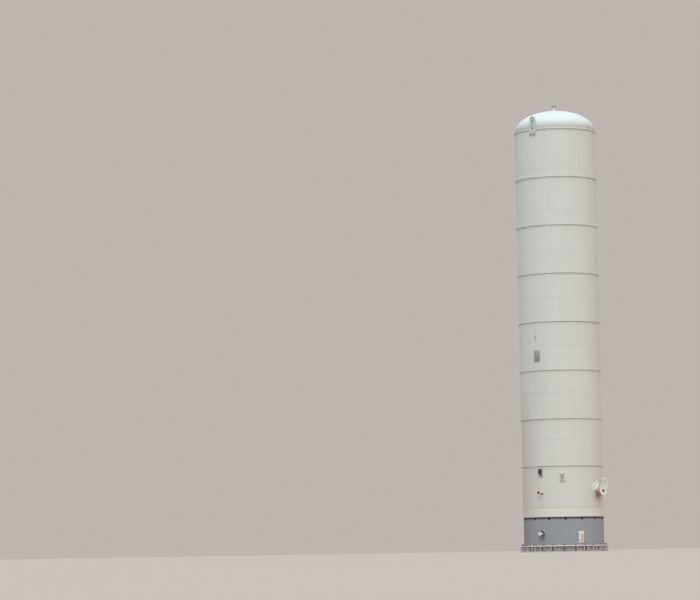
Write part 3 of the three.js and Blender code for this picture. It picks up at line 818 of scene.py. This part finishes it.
# Manway: pad, neck, drilled flange, gasket, cover with its handle, and the davit
doorway = placeOf(manway)
neck, bore, flange = manway["neck"], manway["bore"], manway["flange"]
back, face, coverBack, coverFace = (manway[k] for k in ("back", "face", "coverBack", "coverFace"))
root, padTop = shellRadius - manway["root"], shellRadius + manway["padThick"]
seat, edge = flange - manway["seat"], manway["edge"]
bm = bmesh.new()
pad = addTube(bm, neck + 0.002, manway["pad"], shellRadius + proud, padTop, doorway, doorSteps)
hugWall(pad, doorway)
addFillet(bm, manway["pad"], shellRadius, manway["padWeld"], doorway, steps=doorSteps)
addPiece("manway_pad", bm, greenWhite)

bm = bmesh.new()
addSpin(bm, [
    (bore, root), (neck, root), (neck, back - 0.07), (neck, back - 0.06), (neck + 0.014, back - 0.02),
    (neck + 0.02, back), (flange - edge, back), (flange, back + edge), (flange, face - 2 * edge),
    (flange - edge, face - edge), (seat + 0.002, face - edge), (seat, face), (bore, face),
], doorway, doorSteps)
hole = (manway["boltHole"], back - 0.01, coverFace + 0.01)
boltHoles = [(*hole, spot, 12) for spot in boltSpots(manway, 0, doorway)]
cutHoles(addPiece("manway_neck", bm, neckPaint, nodes=["manway_nozzle"]), boltHoles)
bm = bmesh.new()
bead = [(neck, padTop), (neck + 0.016, padTop), (neck + 0.008, padTop + 0.01), (neck, padTop + 0.018)]
addBead(bm, bead, doorway, steps=doorSteps)
addPiece("manway_weld", bm, weldPaint)
bm = bmesh.new()
addTube(bm, bore + 0.006, seat - 0.002, face + 0.0002, face + 0.0044, doorway, doorSteps, 0.001)
addPiece("manway_gasket", bm, gasketGrey, "dark_steel")

bm = bmesh.new()
addSpin(bm, [
    (0, coverBack), (seat, coverBack), (seat + 0.002, coverBack + edge), (flange - edge, coverBack + edge),
    (flange, coverBack + 2 * edge), (flange, coverFace - 0.004), (flange - 0.004, coverFace), (0, coverFace),
], doorway, doorSteps)
cutHoles(addPiece("manway_cover_skin", bm, coverPaint, nodes=["manway_cover"], body="manway_door"), boltHoles)

handle = dict(
    bar=0.009, half=0.07, drop=-0.13, rise=0.06, bend=0.02, disc=0.085, discRise=0.035, discAt=(-0.045, -0.115, 0),
)
bm = bmesh.new()
half, drop = handle["half"], handle["drop"]
foot, crest = coverFace - 0.001, coverFace + handle["rise"]
bar = [(-half, drop, foot), (-half, drop, crest), (half, drop, crest), (half, drop, foot)]
addBend(bm, handle["bar"], bar, handle["bend"], doorway, 10, 5)
discPlace = doorway @ Matrix.Translation(handle["discAt"])
addRod(bm, handle["disc"], foot, coverFace + handle["discRise"], discPlace, 24, 0.004)
addPiece("manway_handle", bm, spotGreen, "dark_steel", body="manway_door")

# rust that has crept out of the joint, on each side of it
for name, start, end, body in (
    ("manway_rim_rust", face - 0.026, face - 0.0035, "vessel"),
    ("manway_cover_rust", coverBack + 0.0035, coverBack + 0.02, "manway_door"),
):
    bm = bmesh.new()
    addTube(bm, flange - 0.001, flange + 0.0015, start, end, doorway, doorSteps, proud)
    addPiece(name, bm, rustySteel, "rusted_steel", body=body)

backRow, frontRow = (back, (-0.042, 0.046), (-0.03, 0)), (coverFace, (-0.044, 0.045), (0, 0.03))
makeBolts("manway_back_nuts", manway, [backRow], doorway, neckPaint)
makeBolts("manway_front_nuts", manway, [frontRow], doorway, coverPaint, body="manway_door")

davit = dict(
    post=0.47, radius=0.03, top=0.57, bend=0.25, reach=0.15, hanger=0.012, hangerEnd=0.04, nut=0.036,
    eye=(0.07, 0.03, 0.04), socket=0.044, socketHalf=0.12, collar=0.04, collarTall=0.02, bracketHalf=0.09,
    bracket=0.016,
)
post, radius, armTop, half = davit["post"], davit["radius"], davit["top"], davit["socketHalf"]
plane = (coverBack + coverFace) / 2
onEnd = Matrix.Rotation(-math.pi / 2, 4, "X")
along = doorway @ Matrix.Translation((post, 0, plane)) @ onEnd
hang = doorway @ Matrix.Translation((0, 0, plane)) @ onEnd
bm = bmesh.new()
arm = [(post, -half, plane), (post, armTop, plane), (-davit["reach"], armTop, plane)]
addBend(bm, radius, arm, davit["bend"], doorway, 20, 12)
addRod(bm, davit["collar"], half + proud, half + davit["collarTall"], along)
addRod(bm, davit["hanger"], flange + proud, armTop + radius + davit["hangerEnd"], hang, 12)
addNut(bm, davit["nut"], armTop + radius, armTop + radius + 0.02, hang)
addBlock(bm, davit["eye"], (0, flange + 0.014, plane), doorway, 0.004)
addPiece("manway_davit_arm", bm, brightPaint, nodes=["manway_davit"], body="manway_door")

bm = bmesh.new()
addTube(bm, radius + 0.001, davit["socket"], -half, half, along, 24, 0.003)
plate, tall, webFoot = davit["bracket"], 2 * davit["bracketHalf"], back + 0.003
webDepth = plane - webFoot - 0.036
addBlock(bm, (plate, tall, webDepth), (post, 0, webFoot + webDepth / 2), doorway)
addBlock(bm, (post - flange + 0.006, tall, plate), ((post + flange) / 2, 0, back + 0.02), doorway)
addPiece("davit_socket_skin", bm, neckPaint, nodes=["manway_davit_socket"])
print("manway made")


# Drain nozzle and skirt outlet
drain = dict(
    smallEnd, azimuth=-31.2, height=3.355, bore=0.024, neck=0.03, flange=0.075, back=2.65, face=2.67, coverFace=2.69,
    boltCircle=0.0603, bolts=4, start=2.27, weld=0.01,
    boss=((0.029, 2.29), (0.062, 2.29), (0.06, 2.35), (0.046, 2.43), (0.034, 2.45), (0.029, 2.45)),
)
makeNozzle(
    ["drain_pipe_skin", "drain_blind_skin", "drain_bolts"], drain, (drainPaint, "off_white_paint"),
    (darkSteel, "rusted_steel"), (nutSteel, "dark_steel"), ["drain_nozzle", "drain_nozzle_cover"], placeOf(drain),
)
white = (whitePaint, "white_paint")
makeNozzle(
    ["outlet_pipe_skin", "outlet_blind_skin", "outlet_bolts"], outlet, white, white, (nutSteel, "dark_steel"),
    ["outlet_pipe", "outlet_flange", "outlet_cover"], placeOf(outlet),
)
# packing plate between the outlet pipe and its sleeve
bm = bmesh.new()
inner, outer = outlet["neck"] + 0.001, sleeve["radius"] - sleeve["wall"] - 0.001
addTube(bm, inner, outer, 2.3, 2.308, placeOf(outlet), chamfer=0.001)
addPiece("outlet_packing", bm, packingDark, "grey_primer")
print("nozzles made")


# Nameplate and sign board, each on two edge strips with a screw in each corner
nameplate = dict(azimuth=-34.2, height=11.15, width=0.34, tall=0.6, wall=shellRadius, standoff=0.06, thick=0.006)
sign = dict(
    azimuth=25, height=0.82, width=0.33, tall=0.68, wall=skirtRadius, standoff=0.025, thick=0.004,
    colour=(0.68, 0.62, 0.66), worn=(0.5, 0.47, 0.45),
    # plain rose panels: left, right, bottom, top and colour
    panels=[
        (-0.145, 0.145, 0.12, 0.17, (0.6, 0.36, 0.38)), (0.0, 0.145, -0.1, 0.12, (0.6, 0.34, 0.37)),
        (-0.145, 0.145, -0.2, -0.14, (0.58, 0.34, 0.4)), (-0.145, 0.145, -0.3, -0.23, (0.56, 0.48, 0.46)),
    ],
)
boardInset = 0.02


def makeBoard(name, spec, finish, slotName):
    place = placeOf(spec)
    wall, tall, thick = spec["wall"], spec["tall"], spec["thick"]
    back, edge = wall + spec["standoff"], spec["width"] / 2 - boardInset
    bm = bmesh.new()
    addBlock(bm, (spec["width"], tall, thick), (0, 0, back + thick / 2), place, 0.0015)
    for x in (-edge, edge):
        wallFace = math.sqrt(wall ** 2 - x ** 2)
        addBlock(bm, (0.008, tall * 0.8, back - wallFace), (x, 0, (back + wallFace) / 2), place, 0.001)
        for y in (boardInset - tall / 2, tall / 2 - boardInset):
            addRod(bm, 0.006, 0, 0.003, place @ Matrix.Translation((x, y, back + thick)), 12, 0.001)
    addPiece(f"{name}_skin", bm, finish, slotName, [name])


plateMetal, tree, shader = newFinish("nameplate_metal", 0.45, 0.35)
cloudy = fade(tree, noise(tree, 5.0, (1, 1, 0.5), 3.0), 0.35, 0.7)
colour = blend(tree, cloudy, (0.275, 0.265, 0.31), (0.345, 0.335, 0.38))
tree.links.new(colour, shader.inputs["Base Color"])
addBump(tree, shader, noise(tree, 90.0, (1, 1, 12), 2.0), 0.0006)

signPaint, tree, shader = newFinish("sign_board_paint", 0.45)
across = acrossFrom(tree, sign["azimuth"])
level = maths(tree, "SUBTRACT", heightOf(tree), sign["height"])
colour = sign["colour"]
for left, right, bottom, top, tint in sign["panels"]:
    panel = product(tree, between(tree, across, left, right), between(tree, level, bottom, top))
    colour = blend(tree, panel, colour, tint)
faded = fade(tree, noise(tree, 2.5, (1, 1, 0.6), 3.0), 0.35, 0.7, 0, 0.2)
tree.links.new(blend(tree, faded, colour, sign["worn"]), shader.inputs["Base Color"])
addBump(tree, shader, noise(tree, 40.0), 0.0008)

makeBoard("nameplate", nameplate, plateMetal, "plate_aluminium")
makeBoard("sign_board", sign, signPaint, "white_paint")


# Support clips: a box and a foot joined by a strap, with a side plate or a knob
clipSink = 0.006  # how deep the blocks stand in the wall
clips = {
    "left_clip": dict(node="support_clip_left", azimuth=-32.6, slot="dark_steel", blocks=[
        # part, size, place across and up, lift off the wall, bevel, finish
        ("skin", (0.19, 0.285, 0.126), (0, 4.559), 0, 0.004, blackPaint),
        ("foot", (0.23, 0.07, 0.076), (0, 4.316), 0, 0.004, barBrown),
        ("strap", (0.03, 0.243, 0.046), (0, 4.4375), 0, 0.003, barBrown),
        ("end", (0.02, 0.281, 0.124), (0.088, 4.559), 0.0035, 0.003, rimBrown),
    ]),
    "front_clip": dict(node="support_clip_front", azimuth=-0.5, slot="off_white_paint", blocks=[
        ("skin", (0.13, 0.22, 0.126), (0, 4.27), 0, 0.004, boxGrey),
        ("foot", (0.25, 0.07, 0.076), (0, 4.02), 0, 0.004, barGrey),
        ("strap", (0.03, 0.43, 0.046), (0, 4.235), 0, 0.003, brightPaint),
        ("end", (0.11, 0.08, 0.126), (0, 4.45), 0, 0.012, brightPaint),
    ]),
}
for name, clip in clips.items():
    for part, size, spot, lift, bevel, finish in clip["blocks"]:
        bm = bmesh.new()
        out = shellRadius - clipSink + size[2] / 2 + lift
        addBlock(bm, size, (*spot, out), wallFrame(clip["azimuth"], 0), bevel)
        addPiece(f"{name}_{part}", bm, finish, clip["slot"], [clip["node"]] if part == "skin" else ())

# Earth lug and dome clip
earthLug = dict(
    azimuth=-31.3, height=2.62, size=(0.06, 0.16, 0.042), out=0.018, stud=0.012, studUp=0.03, studSpan=(0.035, 0.06),
    nut=0.036, nutSpan=(0.038, 0.052),
)
wall = placeOf(earthLug, shellRadius)
bm = bmesh.new()
addBlock(bm, earthLug["size"], (0, 0, earthLug["out"]), wall, 0.004)
addPiece("earth_lug_skin", bm, earthPaint, nodes=["earth_lug"])
bm = bmesh.new()
spot = wall @ Matrix.Translation((0, earthLug["studUp"], 0))
addRod(bm, earthLug["stud"], *earthLug["studSpan"], spot, 12)
addNut(bm, earthLug["nut"], *earthLug["nutSpan"], spot)
addPiece("earth_lug_stud", bm, brightPaint)

domeClip = dict(
    azimuth=55.4, up=0.12, block=(0.12, 0.28, 0.2), blockOut=-0.045, plate=(0.134, 0.3, 0.014), plateOut=0.053,
)
wall = wallFrame(domeClip["azimuth"], topSeam + domeClip["up"], shellRadius)
bm = bmesh.new()
addBlock(bm, domeClip["block"], (0, 0, domeClip["blockOut"]), wall, 0.01)
addBlock(bm, domeClip["plate"], (0, 0, domeClip["plateOut"]), wall, 0.004)
addPiece("dome_clip_skin", bm, domePaint, nodes=["dome_clip"])
print("small fittings made")


# Floor, background, light and camera
room = dict(
    floor=(0.5, 0.46, 0.43), reach=420.0, back=(0.508, 0.468, 0.437), horizon=(1.0, 0.87, 0.865),
    overhead=(0.97, 0.95, 1.0), horizonLight=0.405, overheadLight=1.09, floorSides=96, cloudScale=0.15,
    floorShade=(0.485, 0.4462, 0.4171),
)
suns = [
    dict(energy=1.38, azimuth=-10, raised=38, spread=70, colour=(0.86, 1.0, 0.963)),
    dict(energy=0.53, azimuth=60, raised=25, spread=60, colour=(1.0, 0.78, 0.56)),
]

bm = bmesh.new()
bmesh.ops.create_circle(bm, cap_ends=True, segments=room["floorSides"], radius=room["reach"])
finish, tree, shader = newFinish("floor_paint", 0.9)
cloudy = noise(tree, room["cloudScale"], (1, 1, 1), 3.0)
tree.links.new(blend(tree, cloudy, room["floorShade"], room["floor"]), shader.inputs["Base Color"])
floor = linkMesh("floor", bm, finish)

# soft light from all round, while the camera sees one plain colour
world = bpy.data.worlds.new("soft_sky")
bpy.context.scene.world = world
world.use_nodes = True
tree = world.node_tree
shown = tree.nodes["Background"]
shown.inputs["Color"].default_value = (*room["back"], 1)
up = addNode(tree, "SeparateXYZ", [addNode(tree, "TexCoord").outputs["Generated"]]).outputs["Z"]
colour = blend(tree, fade(tree, up, 0.0, 1.0), room["horizon"], room["overhead"])
strength = fade(tree, up, 0.0, 1.0, room["horizonLight"], room["overheadLight"])
lit = addNode(tree, "Background", {"Color": colour, "Strength": strength})
seen = addNode(tree, "LightPath").outputs["Is Camera Ray"]
choice = addNode(tree, "MixShader", (seen, lit.outputs[0], shown.outputs[0]))
tree.links.new(choice.outputs[0], tree.nodes["World Output"].inputs[0])
for i, sun in enumerate(suns):
    data = bpy.data.lights.new(f"soft_sun_{i}", "SUN")
    data.energy, data.angle, data.color = sun["energy"], math.radians(sun["spread"]), sun["colour"]
    light = bpy.data.objects.new(f"soft_sun_{i}", data)
    light.rotation_euler = (math.radians(90 - sun["raised"]), 0, math.radians(sun["azimuth"]))
    bpy.context.collection.objects.link(light)

# The photograph's own view: 700 by 600, looking slightly up from far off. The focal length is in pixels.
shot = dict(
    focal=2790.0, width=700, sensor=36.0, distance=161.2, height=0.11, left=4.29, up=5.188, roll=0.95,
    clip=(1.0, 3000.0),
)
data = bpy.data.cameras.new("camera")
data.sensor_width = shot["sensor"]
data.lens = shot["focal"] / shot["width"] * data.sensor_width
data.clip_start, data.clip_end = shot["clip"]
camera = bpy.data.objects.new("camera", data)
left, up, roll = (math.radians(shot[k]) for k in ("left", "up", "roll"))
aim = Matrix.Rotation(left, 4, "Z") @ Matrix.Rotation(math.pi / 2 + up, 4, "X") @ Matrix.Rotation(-roll, 4, "Z")
camera.matrix_world = Matrix.Translation((0, -shot["distance"], shot["height"])) @ aim
bpy.context.collection.objects.link(camera)
bpy.context.scene.camera = camera

bpy.context.scene.view_settings.view_transform = "Standard"
print("scene made")
